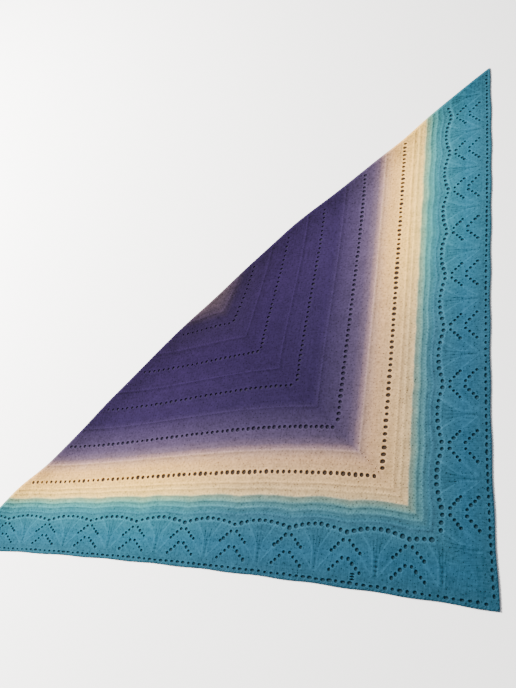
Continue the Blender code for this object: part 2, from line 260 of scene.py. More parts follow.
# %% [markdown]
# Now a place can be read both ways: from the distance along the edge and the depth to x and y, and
# back. Neither the end of a row nor the way back has a simple formula, so both are found in a few
# rounds of correction. The ends are worked out once, for a ladder of close depths.

# %% Ends of the rows and places on the cloth
LADDER = np.arange(-0.006, 0.5705, 0.0005)
END_ROUNDS = 30
PLACE_ROUNDS = 12


def row_start(half, depth):
    """Where along the short side a row leaves the spine."""
    return blocked(OTHER[half], depth)[..., 0]


def ends_of_rows(half):
    """Where along the short side each row of the ladder meets the neck edge."""
    across = blocked(half, LADDER)[..., 3]
    along = np.full_like(across, NECK_LEVEL)
    for _ in range(END_ROUNDS):
        along = ROOT2 * neck_line(turned(half, across, along)[..., 0]) - across
    return np.maximum(along, row_start(half, LADDER) + 0.001)


ROW_ENDS = {half: ends_of_rows(half) for half in HALVES}


def row_end(half, depth):
    """Where along the short side a row meets the neck edge."""
    return np.interp(depth, LADDER, ROW_ENDS[half])


def place(half, along, depth):
    """A point of the cloth, as x and y."""
    start = row_start(half, depth)
    t = (along - start) / (row_end(half, depth) - start)
    return turned(half, through_four(blocked(half, depth), t), along)


def measured(half, spots):
    """The reverse: how far along the short side and how deep the points x, y lie."""
    x, y = spots[..., 0], spots[..., 1]
    along, across = (x + y) / ROOT2, (y - x) / ROOT2
    if half == "left":
        along, across = across, along
    depth = across.copy()
    for _ in range(PLACE_ROUNDS):
        start = row_start(half, depth)
        t = (along - start) / (row_end(half, depth) - start)
        depth = depth + across - through_four(blocked(half, depth), t)
    return along, depth


probe = place("left", np.array([0.5]), np.array([0.2]))
print("there and back:", [round(float(value[0]), 5) for value in measured("left", probe)])

# %% [markdown]
# ## Counting stitches
# A knitter reads lace as a chart, so the cloth is also counted: 18 stitches to a repeat along the
# edge, and a row every 2.8 mm. The repeats were stretched unevenly, so a short list says where the
# middle of each lies, at the dip of its wave.

# %% Repeats
REPEAT = 18
ROW = 0.0028
DIPS = {
    "right": (0.113, 0.214, 0.317, 0.422, 0.525, 0.622, 0.717, 0.811, 0.906),
    "left": (0.121, 0.217, 0.313, 0.412, 0.510, 0.612, 0.715, 0.818, 0.922),
}
BEYOND = 3


def repeat_table(half):
    """Repeats counted from the first dip and where each begins, carried on past both ends."""
    dips = DIPS[half]
    before = [dips[0] - i * (dips[1] - dips[0]) for i in range(BEYOND, 0, -1)]
    after = [dips[-1] + i * (dips[-1] - dips[-2]) for i in range(1, BEYOND + 1)]
    return np.arange(-BEYOND, len(dips) + BEYOND), np.array((*before, *dips, *after))


REPEATS = {half: repeat_table(half) for half in HALVES}
print("a repeat is", round(float(np.diff(DIPS["right"]).mean()), 3), "m wide, or", REPEAT, "stitches")

# %% [markdown]
# The first row of lace pushes the rows above it into waves, and the stitches between two V's draw
# together towards the edge like a fan. Each of these moves is a small function of its own.

# %% Waves and fans
DIP_DEPTH = 0.0750
WAVE_RISE = 0.0092
CORNER_RISE = 0.45
LEAN = {"right": 0.0050, "left": 0.0}
LEAN_REACH = 0.420
WAVE_ABOVE = {
    "right": ((0.0750, 0.0910, 0.1040, 0.1150, 0.1300, 0.1400), (1.0, 0.45, 0.22, 0.16, 0.05, 0.0)),
    "left": ((0.0750, 0.0900, 0.1220, 0.1500, 0.1650), (1.0, 0.45, 0.30, 0.06, 0.0)),
}
FAN_FOOT = 0.0180
FAN_HALF = 0.25
FAN_HALF_AT_FOOT = 0.15


def lean(half, along, depth):
    """How far the columns below the wavy row lean towards the point of the shawl."""
    below = np.clip(1.0 - depth / DIP_DEPTH, 0.0, 1.0)
    return LEAN[half] * below * np.clip(1.0 - along / LEAN_REACH, 0.0, 1.0)


def rise(middle):
    """Height of the wave in the fan with this middle: less in the half fan at the corner."""
    return WAVE_RISE * np.where(middle < 0, CORNER_RISE, 1.0)


def follows(half, depth):
    """How much of the wave a row follows: all of it at the wavy row, and less away from it."""
    above = np.interp(depth, *WAVE_ABOVE[half])
    below = np.clip((depth - FAN_FOOT) / (DIP_DEPTH - FAN_FOOT), 0.0, 1.0)
    return np.where(depth > DIP_DEPTH, above, below)


def fan_half(depth):
    """Half the width of a fan, in repeats."""
    share = np.clip((depth - FAN_FOOT) / (DIP_DEPTH - FAN_FOOT), 0.0, 1.0)
    return FAN_HALF_AT_FOOT + (FAN_HALF - FAN_HALF_AT_FOOT) * share


def stretched(offset, inner, new_inner):
    """Moves an offset from a fan's middle so that inner comes to new_inner and half a repeat stays."""
    size = np.abs(offset)
    near = size * new_inner / inner
    far = new_inner + (size - inner) * (0.5 - new_inner) / (0.5 - inner)
    return np.sign(offset) * np.where(size < inner, near, far)


shares = [2 * fan_half(depth) for depth in (DIP_DEPTH, FAN_FOOT)]
print("a fan takes", shares[0], "of a repeat at the wave and", shares[1], "at its foot")

# %% [markdown]
# Two functions go from the count to the cloth and back, again in a few rounds. The shaders will use the
# count too, so that stitches, ridges and dye agree.

# %% From the count to the cloth and back
WAVE_ROUNDS = 4
COUNT_ROUNDS = 10


def along_and_depth(half, stitch, row):
    """From a count of stitches and of rows to a place on the cloth."""
    repeats, starts = REPEATS[half]
    middle = np.floor(stitch / REPEAT) + 0.5
    counted = stitch / REPEAT - middle
    offset, depth = counted, row * ROW
    for _ in range(WAVE_ROUNDS):
        offset = stretched(counted, FAN_HALF, fan_half(depth))
        depth = row * ROW + rise(middle) * np.cos(np.pi * offset) * follows(half, row * ROW)
    along = np.interp(middle + offset, repeats, starts)
    return along - lean(half, along, depth), depth


def stitch_and_row(half, along, depth):
    """From a place on the cloth to its count of stitches and of rows."""
    repeats, starts = REPEATS[half]
    repeat = np.interp(along + lean(half, along, depth), starts, repeats)
    middle = np.floor(repeat) + 0.5
    offset = repeat - middle
    counted = stretched(offset, fan_half(depth), FAN_HALF)
    level = depth.copy()
    for _ in range(COUNT_ROUNDS):
        level = depth - rise(middle) * np.cos(np.pi * offset) * follows(half, level)
    return (middle + counted) * REPEAT, level / ROW


probe = along_and_depth("left", np.array([61.3]), np.array([33.0]))
counted_back = [round(float(value[0]), 3) for value in stitch_and_row("left", *probe)]
print("stitch 61.3, row 33, there and back:", counted_back)

# %% [markdown]
# ## The chart of eyelets
# An eyelet is a loop thrown over the needle. They come in straight rows across the middle, in the wavy
# row on top of the border, in two nested V's under each dip, and in a row along the bound-off edge.
# Holes could be painted on as dark spots, but real ones let light and the ground through.

# %% Straight rows of eyelets
Eyelet = namedtuple("Eyelet", "along depth half_along half_across")
EyeletRow = namedtuple("EyeletRow", "depth first near far")
STRAIGHT_ROWS = {
    "right": (
        EyeletRow(0.4840, 0.006, 0.0100, 0.0110),
        EyeletRow(0.4120, 0.007, 0.0092, 0.0114),
        EyeletRow(0.3340, 0.010, 0.0099, 0.0110),
        EyeletRow(0.2450, 0.014, 0.0108, 0.0106),
        EyeletRow(0.1650, 0.014, 0.0115, 0.0102),
    ),
    "left": (
        EyeletRow(0.4840, 0.008, 0.0100, 0.0110),
        EyeletRow(0.4120, 0.006, 0.0094, 0.0120),
        EyeletRow(0.3340, 0.011, 0.0098, 0.0120),
        EyeletRow(0.2450, 0.008, 0.0096, 0.0120),
        EyeletRow(0.1650, 0.012, 0.0102, 0.0120),
    ),
}
ROW_SIZES = {0.4840: (0.0023, 0.0026), 0.4120: (0.0025, 0.0029), 0.3340: (0.0028, 0.0032)}
ROW_SIZES |= {0.2450: (0.0031, 0.0036), 0.1650: (0.0034, 0.0040)}


def straight_eyelets(half):
    """The rows across the plain middle and the band, each with the spacing that it was stretched to."""
    found = []
    for row in STRAIGHT_ROWS[half]:
        level = np.array([row.depth])
        start, end = row_start(half, level)[0], row_end(half, level)[0]
        along = start + row.first
        while along < end:
            found.append(Eyelet(along, row.depth, *ROW_SIZES[row.depth]))
            along += row.near + (row.far - row.near) * (along - start) / (end - start)
    return found


print("straight rows:", {half: len(straight_eyelets(half)) for half in HALVES}, "eyelets")

# %% [markdown]
# The lace is read off its chart. The wavy row has an eyelet at every second stitch. Under each dip the
# V's open downwards, and each of their eyelets has its own fall, because the cloth is pulled towards
# the edge. The row along the edge has nine to a repeat.

# %% Eyelets of the lace
WAVE_SIZE = (0.0034, 0.0033)
WAVE_SHIFT = {"right": 0.5, "left": 0.0}
WAVE_BEFORE_DIP = 0.036
V_SIZE = (0.0027, 0.0029)
V_DROPS = (0.0110, 0.0362)
V_ALONG = ((0.0052, 0.0119, 0.0176, 0.0228), (0.0050, 0.0115, 0.0180, 0.0240))
V_DOWN = ((0.0, 0.0063, 0.0118, 0.0162), (0.0, 0.0063, 0.0126, 0.0180))
EDGE_SIZE = (0.0029, 0.0022)
EDGE_DEPTH = 0.0062
EDGE_PER_REPEAT = 9.0
PAIRS = np.arange(-REPEAT, 6 * REPEAT)


def wave_eyelets(half):
    """The wavy row, one eyelet every second stitch."""
    first = DIPS[half][0] - WAVE_BEFORE_DIP
    stitches = 2.0 * (PAIRS + WAVE_SHIFT[half])
    alongs, depths = along_and_depth(half, stitches, np.full_like(stitches, DIP_DEPTH / ROW))
    return [Eyelet(along, depth, *WAVE_SIZE) for along, depth in zip(alongs, depths) if along > first]


def v_eyelets(half):
    """The two V's under each dip of the wavy row."""
    found = []
    for dip in DIPS[half]:
        for drop, offsets, falls in zip(V_DROPS, V_ALONG, V_DOWN):
            for offset, fall in zip(offsets, falls):
                depth = DIP_DEPTH - drop - fall
                middle = dip - lean(half, np.array([dip]), np.array([depth]))[0]
                found += [Eyelet(middle + side * offset, depth, *V_SIZE) for side in (-1, 1)]
    return found


def edge_eyelets(half):
    """The row along the bound-off edge, nine to a repeat."""
    repeats, starts = REPEATS[half]
    alongs = np.interp(PAIRS / EDGE_PER_REPEAT, repeats, starts)
    return [Eyelet(along, EDGE_DEPTH, *EDGE_SIZE) for along in alongs]


print("under one dip:", len(v_eyelets("right")) // len(DIPS["right"]), "eyelets in the two V's")

# %% [markdown]
# Two places differ from the chart, as they do in hand knitting. Beside the spine a few small holes show
# where stitches were added, and below one V some strands hang slack.

# %% Chance eyelets
SPINE_DEPTHS = np.arange(0.1700, 0.2040, 0.0058)
SPINE_SIDE = 0.0026
SPINE_SIZE = (0.0009, 0.0009)
SLACK_ALONG = 0.2035
SLACK_DEPTHS = (0.0116, 0.0153, 0.0190)
SLACK_SIZE = (0.0034, 0.0011)


def spine_eyelets(half):
    """Small holes where stitches were added beside the spine."""
    if half == "left":
        return []
    return [Eyelet(row_start(half, level) + SPINE_SIDE, level, *SPINE_SIZE) for level in SPINE_DEPTHS]


def slack_eyelets(half):
    """Three wide gaps between slack strands, where stitches ran down below one of the V's."""
    return [Eyelet(SLACK_ALONG, depth, *SLACK_SIZE) for depth in SLACK_DEPTHS] if half == "left" else []


print(len(spine_eyelets("right")), "holes beside the spine and", len(slack_eyelets("left")), "slack gaps")

# %% [markdown]
# No hand pulls every eyelet alike. Each is made a little larger or smaller and moved by a fraction of a
# millimetre, from one seeded draw, so that the shawl comes out the same every time. Those that would
# fall on the spine or on the neck edge are left out.

# %% Uneven eyelets
GROWN = (0.80, 1.12)
OUT_OF_ROUND = (0.92, 1.08)
PULLED_ALONG_EDGE = (0.75, 1.40)
MOVED = 0.0004
SPINE_CLEAR = 0.0050
NECK_CLEAR = 0.0125
chance = np.random.default_rng(7)


def on_cloth(half, along, depth):
    """Whether an eyelet there stays clear of the spine and of the neck edge."""
    spot = place(half, np.array([along]), np.array([depth]))[0]
    from_spine = along - row_start(half, np.array([depth]))[0]
    return from_spine > SPINE_CLEAR and spot[1] < neck_line(spot[0], NECK_CLEAR)


def uneven(eyelet):
    """The same eyelet, pulled a little larger or smaller and to one side, most of all along the edge."""
    grown = chance.uniform(*GROWN) * chance.uniform(*OUT_OF_ROUND, 2)
    if eyelet.depth == EDGE_DEPTH:
        grown[0] *= chance.uniform(*PULLED_ALONG_EDGE)
    moved = chance.uniform(-MOVED, MOVED, 2)
    return Eyelet(
        eyelet.along + moved[0],
        eyelet.depth + moved[1],
        eyelet.half_along * grown[0],
        eyelet.half_across * grown[1],
    )


def all_eyelets(half):
    """Every eyelet of a half, as the yarn left it."""
    wanted = straight_eyelets(half) + wave_eyelets(half) + v_eyelets(half) + edge_eyelets(half)
    found = [uneven(eyelet) for eyelet in wanted if on_cloth(half, eyelet.along, eyelet.depth)]
    return found + spine_eyelets(half) + slack_eyelets(half)


EYELETS = {half: all_eyelets(half) for half in HALVES}
print("eyelets:", {half: len(found) for half, found in EYELETS.items()})

# %% [markdown]
# ## Relief
# The surface is raised in the mesh itself, because a displacement modifier would need a far finer one.
# We begin with the two stitches that every knitter knows. A plain stitch shows as two legs of yarn
# that lean together, and a purl ridge as a zigzag line of bumps with a shaded trough below it. Each
# function gives 1 where its form is highest and falls off softly, like a hump.

# %% Plain stitches and purl ridges
LEG_PLACE = 0.26
LEG_LEAN = 0.06
LEG_HALF = 0.13
LEG_FADE = 0.13
FURROW_HALF = 0.12
FURROW_LEVEL = 0.3
RIDGE_HALF = 0.0011
RIDGE_ZIGZAG = 0.0010
CREST_FADE = 0.25
TROUGH_OFFSET = 0.0032
TROUGH_HALF = 0.0022
RIDGES = (0.0910, 0.1027, 0.1132, 0.1242, 0.1372, 0.1480, 0.2037, 0.2885, 0.3720, 0.4495, 0.5145)
UNDER_WAVE = 0.0705


def hump(distance, half_width):
    """1 at no distance, and less and less away from it."""
    return np.exp(-((distance / half_width) ** 2))


def plain_stitches(stitch, row):
    """0 in the furrow between two stitches and 1 on the two legs, which lean together down each row."""
    part = stitch - np.floor(stitch)
    leg = LEG_PLACE + LEG_LEAN * np.cos(2 * np.pi * row)
    legs = hump(part - leg, LEG_HALF) + hump(part - (1 - leg), LEG_HALF)
    fade = 1.0 - LEG_FADE - LEG_FADE * np.cos(2 * np.pi * row)
    return legs * fade + FURROW_LEVEL * hump(part - 0.5, FURROW_HALF)


def purl_ridges(stitch, depth):
    """1 on the zigzag crest of a ridge, and the trough just below it."""
    from_ridge = np.full_like(depth, np.inf)
    for ridge in (*RIDGES, UNDER_WAVE):
        offset = depth - ridge
        from_ridge = np.where(np.abs(offset) < np.abs(from_ridge), offset, from_ridge)
    zigzag = RIDGE_ZIGZAG * np.cos(2 * np.pi * stitch)
    crest = hump(from_ridge + zigzag, RIDGE_HALF)
    crest *= 1.0 - CREST_FADE + CREST_FADE * np.cos(4 * np.pi * stitch)
    trough = hump(from_ridge + TROUGH_OFFSET, TROUGH_HALF)
    return crest, trough * (depth > UNDER_WAVE + 0.01)


print(len(RIDGES), "purl ridges, and one more under the wave")

# %% [markdown]
# Between two V's of the lace lies a fan. Ribs bound it like the edges of a petal, and dotted rays spread
# up it where stitches were taken together. Both are measured from the nearest fan's middle, so one
# function serves every fan.

# %% Fans
FAR = 1.0
CORNER_SIDE = -0.005
LONG_RIB = ((0.018, 0.050, 0.080), (0.0040, 0.0052, 0.0270))
SHORT_RIB = ((0.020, 0.045), (0.0050, 0.0255))
RIB_SLOPE = 0.8
Ray = namedtuple("Ray", "foot foot_offset top_offset")
FAN_RAYS = (Ray(0.020, 0.0, 0.0), Ray(0.040, 0.0016, 0.0085), Ray(0.046, 0.0030, 0.0170))
RAY_HALF = 0.0009
DOTTED = 0.55
DOT_HALF = 0.28
PAST_WAVE = {"rib": 0.004, "ray": 0.002}


def fan_offset(half, along, depth):
    """Distance along the edge from the nearest fan's middle. The corner beyond the half fan has none."""
    repeats, starts = REPEATS[half]
    upright = along + lean(half, along, depth)
    middle = np.floor(np.interp(upright, starts, repeats)) + 0.5
    offset = upright - np.interp(middle, repeats, starts)
    return np.where((middle < -1) | (middle < 0) & (offset < CORNER_SIDE), FAR, np.abs(offset))


def fan_ribs(half, along, depth, width):
    """1 on the two ribs: from the wave down beside the ladder, and from the V to the foot."""
    offset = fan_offset(half, along, depth)
    in_long = (depth > FAN_FOOT) & (depth < DIP_DEPTH + PAST_WAVE["rib"])
    in_short = (depth > FAN_FOOT) & (depth < SHORT_RIB[0][1])
    return np.maximum(
        hump((offset - np.interp(depth, *LONG_RIB)) * RIB_SLOPE, width) * in_long,
        hump((offset - np.interp(depth, *SHORT_RIB)) * RIB_SLOPE, width) * in_short,
    )


def fan_rays(half, along, row, depth):
    """1 in the dotted hollows that spread up the fan, where stitches were taken together."""
    offset = fan_offset(half, along, depth)
    found = np.zeros_like(depth)
    for ray in FAN_RAYS:
        line = np.interp(depth, (ray.foot, DIP_DEPTH), (ray.foot_offset, ray.top_offset))
        inside = (depth > ray.foot) & (depth < DIP_DEPTH + PAST_WAVE["ray"])
        found = np.maximum(found, hump(offset - line, RAY_HALF) * inside)
    return found * (1.0 - DOTTED + DOTTED * hump(row - np.floor(row) - 0.5, DOT_HALF))


middles = np.convolve(REPEATS["right"][1], (0.5, 0.5), "valid")[BEYOND:-BEYOND]
print("middles of the right fans at", np.round(middles, 3), "m from the point")

# %% [markdown]
# A ladder runs down the middle of each fan: slack strands cross the gap between two columns of
# stitches, one to every second row, and the stitches beside it stand apart. One ladder was left quite
# loose.

# %% Ladders
LADDER_HALF = 0.0036
LADDER_FOOT = 0.018
LADDER_TOP = 0.060
BESIDE_LADDER = 0.0046
BESIDE_HALF = 0.0007
BESIDE_DOT = 0.25
BESIDE_LEVEL = 0.8
STRAND_GAP = 0.22
FADES = {"side": 0.0006, "foot": 0.002, "top": 0.012}
SLACKNESS = {"right": 0.30, "left": 0.55}
SLACKEST = 0.169
SLACKEST_HALF = 0.02


def ladders(half, along, row, depth):
    """1 in the gaps between the slack strands in the middle of a fan, and in the stitches beside them."""
    offset = fan_offset(half, along, depth)
    part = 0.5 * row - np.floor(0.5 * row)
    inside = np.clip((LADDER_HALF - offset) / FADES["side"], 0.0, 1.0)
    inside *= np.clip((depth - LADDER_FOOT) / FADES["foot"], 0.0, 1.0)
    inside *= np.clip((LADDER_TOP - depth) / FADES["top"], 0.0, 1.0)
    beside = hump(offset - BESIDE_LADDER, BESIDE_HALF) * hump(row - np.floor(row) - 0.5, BESIDE_DOT)
    beside *= (depth > LADDER_FOOT) & (depth < DIP_DEPTH)
    slack = np.full_like(along, SLACKNESS[half])
    if half == "left":
        slack[np.abs(along - SLACKEST) < SLACKEST_HALF] = 1.0
    return slack * inside * hump(part - 0.5, STRAND_GAP) + BESIDE_LEVEL * beside


print("the loosest ladder stands", SLACKEST, "m from the point, on the left")

# %% [markdown]
# The last form is the rim, where the cloth rises softly round an eyelet. Then all of them are added up
# to a height. The same function also gives painted light: painted shade in the hollows and painted
# highlights on the ridges and round the eyelets, which the dye uses later.

# %% Rims, height and tone
BASE = 0.0017
LEG_RISE = 0.00026
RIDGE_RISE = 0.0007
RIB_RISE = 0.0006
RIB_HALF = 0.0011
PETAL_HALF = 0.0036
LADDER_DIP = 0.00045
RIM_RISE = 0.00022
RIM_MIDDLE = 1.35
RIM_HALF = 0.28
RIM_START = 1.05
NEAREST = 0.009
MEAN_LEGS = 0.55
# Painted light of each form: painted highlights on purl crests, ribs, petals, eyelet rims and legs, and
# painted shade in troughs, rays and the gaps of the ladders.
PAINTED_LIGHTS = {"purl": 0.78, "trough": -0.30, "ribs": 0.30, "petals": 0.22}
PAINTED_LIGHTS |= {"rays": -0.55, "gaps": -0.90, "rim": 0.45, "legs": 0.12}


def nearness(half, along, depth):
    """Distance to the nearest eyelet's middle, where 1 is its rim."""
    found = np.full_like(depth, np.inf)
    for eyelet in EYELETS[half]:
        near = np.abs(depth - eyelet.depth) < NEAREST
        near &= np.abs(along - eyelet.along) < NEAREST
        if near.any():
            across_by = (depth[near] - eyelet.depth) / eyelet.half_across
            along_by = (along[near] - eyelet.along) / eyelet.half_along
            found[near] = np.minimum(found[near], np.hypot(across_by, along_by))
    return found


def relief(half, along, depth, rho):
    """Height of the cloth's top and its painted light: shade below 0 in hollows, highlight above 0 on what
    is raised.
    """
    stitch, row = stitch_and_row(half, along, depth)
    legs = plain_stitches(stitch, row)
    purl, trough = purl_ridges(stitch, row * ROW)
    ribs = fan_ribs(half, along, depth, RIB_HALF)
    petals = fan_ribs(half, along, depth, PETAL_HALF)
    rays = fan_rays(half, along, row, depth)
    gaps = ladders(half, along, row, depth)
    rim = hump(rho - RIM_MIDDLE, RIM_HALF)
    between = (1.0 - np.maximum(purl, ribs)) * (1.0 - rim)
    height = BASE + LEG_RISE * (legs - 0.5) * between
    height += RIDGE_RISE * purl + RIB_RISE * ribs - LADDER_DIP * gaps + RIM_RISE * rim
    forms = {"purl": purl, "trough": trough, "ribs": ribs, "petals": petals, "rays": rays, "gaps": gaps}
    forms |= {"rim": rim * (rho > RIM_START), "legs": (legs - MEAN_LEGS) * between}
    return height, sum(PAINTED_LIGHTS[form] * values for form, values in forms.items())


print("relief from", BASE - 0.5 * LEG_RISE, "to", BASE + RIDGE_RISE)

# %% [markdown]
# ## From outline to cloth
# A piece is a closed shell: a fine top with the relief, a flat and coarser underside, and walls round
# its outline and through its eyelets. Both sides are triangulated between the same loops, so that the
# walls join them exactly. A grid with Boolean cuts would be slower and leave ragged rims.

# %% Triangles between loops
RIM_SIDES = 12
MERGE = 1e-8


def wound(loop, way):
    """The loop, turned over if it doesn't run the wanted way: 1 is anticlockwise, -1 is clockwise."""
    x, y = loop[:, 0], loop[:, 1]
    area = float(np.sum(x * np.roll(y, -1) - y * np.roll(x, -1)))
    return loop if area * way > 0 else loop[::-1]


def ring(half, eyelet, scale):
    """A loop round an eyelet."""
    angle = 2 * np.pi * (np.arange(RIM_SIDES) + 0.5) / RIM_SIDES
    along = eyelet.along + scale * eyelet.half_along * np.cos(angle)
    depth = eyelet.depth + scale * eyelet.half_across * np.sin(angle)
    return place(half, along, depth)


def triangulated(loops, inner):
    """Triangles between an outline, holes and inner points. The corners of a loop keep their numbers."""
    points = np.concatenate([*loops, inner])
    owners = np.full(len(points), -1)
    edges, first = [], 0
    for number, loop in enumerate(loops):
        count = len(loop)
        owners[first:first + count] = number
        edges += [(first + i, first + (i + 1) % count) for i in range(count)]
        first += count
    found = delaunay_2d_cdt([Vector(p) for p in points], edges, [], 1, MERGE)
    sources = np.array([group[0] for group in found[3]])
    faces = sources[np.array(found[2])]
    owner = owners[faces]
    in_hole = (owner[:, 0] > 0) & (owner[:, 0] == owner[:, 1]) & (owner[:, 0] == owner[:, 2])
    return points, faces[~in_hole]


first_ring = ring("right", EYELETS["right"][0], 1.0)
disc = triangulated([wound(first_ring, 1)], np.empty((0, 2)))[1]
print("the disc that one eyelet leaves out has", len(disc), "triangles")

# %% [markdown]
# A shell takes its two sides from the same loops and walls them together. Every corner is found on the
# map once. Its count of stitches and rows is kept as a UV map and its painted light and shade as an
# attribute, because the shader can read both. The rims of the eyelets are kept low, so that the cloth
# rounds into them.

# %% Shells
RIM_EDGE = 0.0010
SHARP = math.radians(62)


def shell(name, half, loops, fine, coarse, surface):
    """A closed piece of cloth. The surface function gives the height and painted light of its top."""
    top, top_faces = triangulated(loops, fine)
    low, low_faces = triangulated(loops, coarse)
    spots = np.concatenate([top, low])
    along, depth = measured(half, spots)
    knit = np.stack(stitch_and_row(half, along, depth), -1)
    rho = nearness(half, along, depth)
    heights, painted_lights = surface(half, spots, along, depth, rho)
    rims = slice(len(loops[0]), sum(len(loop) for loop in loops))
    heights[rims] = RIM_EDGE
    heights[len(top):] = 0.0
    painted_lights[len(top):] = 0.0
    walls, first = [], 0
    for loop in loops:
        count = len(loop)
        here = first + np.arange(count)
        after = first + (np.arange(count) + 1) % count
        walls.append(np.stack((here, here + len(top), after + len(top)), -1))
        walls.append(np.stack((here, after + len(top), after), -1))
        first += count
    faces = np.concatenate([top_faces, low_faces[:, ::-1] + len(top), *walls])
    corners = np.column_stack([spots - ORIGIN, heights])
    mesh = bpy.data.meshes.new(name)
    mesh.from_pydata(corners.tolist(), [], faces.tolist())
    mesh.shade_smooth()
    mesh.set_sharp_from_angle(angle=SHARP)
    used = np.empty(len(mesh.loops), np.int32)
    mesh.loops.foreach_get("vertex_index", used)
    mesh.uv_layers.new(name="knit").uv.foreach_set("vector", knit[used].astype(np.float32).ravel())
    # The painted light and shade of the top, kept as an attribute for the shader.
    mesh.attributes.new("tone", "FLOAT", "POINT").data.foreach_set("value", painted_lights.astype(np.float32))
    made = bpy.data.objects.new(name, mesh)
    bpy.context.scene.collection.objects.link(made)
    print(name, len(faces), "triangles,", len(loops) - 1, "eyelets")
    return made


# %% [markdown]
# The inner points follow the knitting: four to a stitch and two to a row, with the two legs of each
# stitch leaning together. The underside takes a coarser set. Points near an outline or an eyelet are
# left out, and each eyelet gets two rings of its own for its rim.

# %% Points inside a stretch of cloth
EDGE_WIDTH = 0.0060
CLEAR = 0.0007
LEGS = 4
RIM_RINGS = (1.2, 1.5)
RIM_CLEAR = 1.72


def neck_gap(spots):
    """How far points lie below the line where the neck strip begins."""
    return neck_line(spots[..., 0], EDGE_WIDTH) - spots[..., 1]


def fits(half, along, depth, low, high, clear):
    """Whether points lie inside a stretch of cloth, clear of its outline."""
    inside = (depth > low + clear) & (depth < high - clear)
    inside &= along > row_start(half, depth) + ROOT2 * clear
    inside &= along < row_end(half, depth)
    inside[inside] &= neck_gap(place(half, along[inside], depth[inside])) > clear
    return inside


def stitch_points(half, low, high, per_stitch, per_row, eyelets):
    """Points on the legs and furrows of the stitches, then the rings round the eyelets."""
    first_row, last_row = math.floor((low - WAVE_RISE) / ROW), math.ceil(high / ROW)
    last = REPEATS[half][0][-1] * REPEAT
    rows = np.arange(first_row * per_row, last_row * per_row) / per_row
    stitches = np.arange(-BEYOND * REPEAT * per_stitch, last * per_stitch) / per_stitch
    stitch, row = (grid.ravel() for grid in np.meshgrid(stitches, rows))
    tilt = LEG_LEAN * np.cos(2 * np.pi * row) * np.sin(2 * np.pi * stitch) if per_stitch == LEGS else 0.0
    along, depth = along_and_depth(half, stitch - tilt, row)
    keep = fits(half, along, depth, low, high, CLEAR)
    along, depth = along[keep], depth[keep]
    keep = nearness(half, along, depth) > RIM_CLEAR
    found = [place(half, along[keep], depth[keep])]
    for eyelet in eyelets:
        for scale in RIM_RINGS:
            spots = ring(half, eyelet, scale)
            along, depth = measured(half, spots)
            keep = fits(half, along, depth, low, high, 0.3 * CLEAR)
            keep &= nearness(half, along, depth) > scale - 0.05
            found.append(spots[keep])
    return np.concatenate(found)


print(len(stitch_points("right", 0.30, 0.31, LEGS, 2, [])), "points in one centimetre of rows")

# %% [markdown]
# An outline is made of rows, of the spine and of the neck edge. A hair's breadth is left at each seam,
# because two shells that touch would fight over the same surface. Where a row or the spine meets the
# neck edge is found by halving a span.

# %% Lines of an outline
SEAM_GAP = 0.00004
STEP = 0.0014
LONGEST = 1.1
SPINE_TOP_SPAN = (0.3, 0.57)
HALVINGS = 40


def scalloped(repeat):
    """1 under each dip of the lace and 0 between two dips, from a count of repeats."""
    return 0.5 + 0.5 * np.cos(2 * np.pi * repeat)


def row_line(half, depth, swell=0.0):
    """Points of a row from the spine to the neck strip, moved out by a swell under each dip."""
    start = row_start(half, np.array([depth]))[0]
    along = np.arange(math.floor(start / STEP), LONGEST / STEP) * STEP
    level = depth - swell * scalloped(np.interp(along, *REPEATS[half][::-1]))
    keep = (along > start + STEP) & (along < row_end(half, level))
    keep[keep] &= neck_gap(place(half, along[keep], level[keep])) > 0.3 * STEP
    return place(half, along[keep], level[keep])


def crossing(half, depth, inset):
    """Where a row meets a line that runs inset below the neck edge."""
    low, high = row_start(half, depth), row_end(half, depth)
    for _ in range(HALVINGS):
        middle = 0.5 * (low + high)
        spot = place(half, middle, depth)
        below = spot[..., 1] < neck_line(spot[..., 0], inset)
        low, high = np.where(below, middle, low), np.where(below, high, middle)
    return place(half, low, depth)


def spine_points(half, depths):
    """Points beside the spine, half a gap away from it."""
    across = blocked("right", depths)[..., 0]
    spots = turned("right", across, row_start("right", depths))
    return spots + np.array((HALVES[half] * 0.5 * SEAM_GAP, 0.0))


def along_neck(first, last, inset, step=STEP):
    """Points between two places on a line that runs inset below the neck edge."""
    x = np.linspace(first, last, 2 + int(abs(last - first) / step))[1:-1]
    return np.stack((x, neck_line(x, inset)), -1)


def spine_top(inset):
    """Depth at which the spine meets a line that runs inset below the neck edge."""
    low, high = SPINE_TOP_SPAN
    for _ in range(HALVINGS):
        middle = 0.5 * (low + high)
        spot = spine_points("right", np.array([middle]))[0]
        low, high = (middle, high) if spot[1] < neck_line(spot[0], inset) else (low, middle)
    return low


print("the spine is", round(spine_top(0.0) * ROOT2, 3), "m long")

# %% [markdown]
# The outline of a stretch runs along its lower row, up the neck strip, back along its upper row and
# down the spine.

# %% Outline of a stretch
def strip_loop(half, low, high):
    """The outline of a stretch of cloth between two rows, or up to the top of the spine."""
    inset = EDGE_WIDTH + 0.5 * SEAM_GAP
    low_end, top = low + 0.5 * SEAM_GAP, spine_top(inset)
    wing = crossing(half, np.array([low_end]), inset)
    pieces = [spine_points(half, np.array([low_end])), row_line(half, low_end), wing]
    if high < top:
        high_end = high - 0.5 * SEAM_GAP
        upper_wing = crossing(half, np.array([high_end]), inset)
        pieces += [along_neck(wing[0, 0], upper_wing[0, 0], inset), upper_wing]
        pieces += [row_line(half, high_end)[::-1], spine_points(half, np.array([high_end]))]
    else:
        high_end = top
        peak = spine_points(half, np.array([top]))
        pieces += [along_neck(wing[0, 0], peak[0, 0], inset), peak]
    count = int((high_end - low_end) / STEP)
    pieces.append(spine_points(half, np.linspace(high_end, low_end, count + 1)[1:-1]))
    return wound(np.concatenate(pieces), 1)


print("points round the right border:", len(strip_loop("right", 0.0030, 0.0897)))
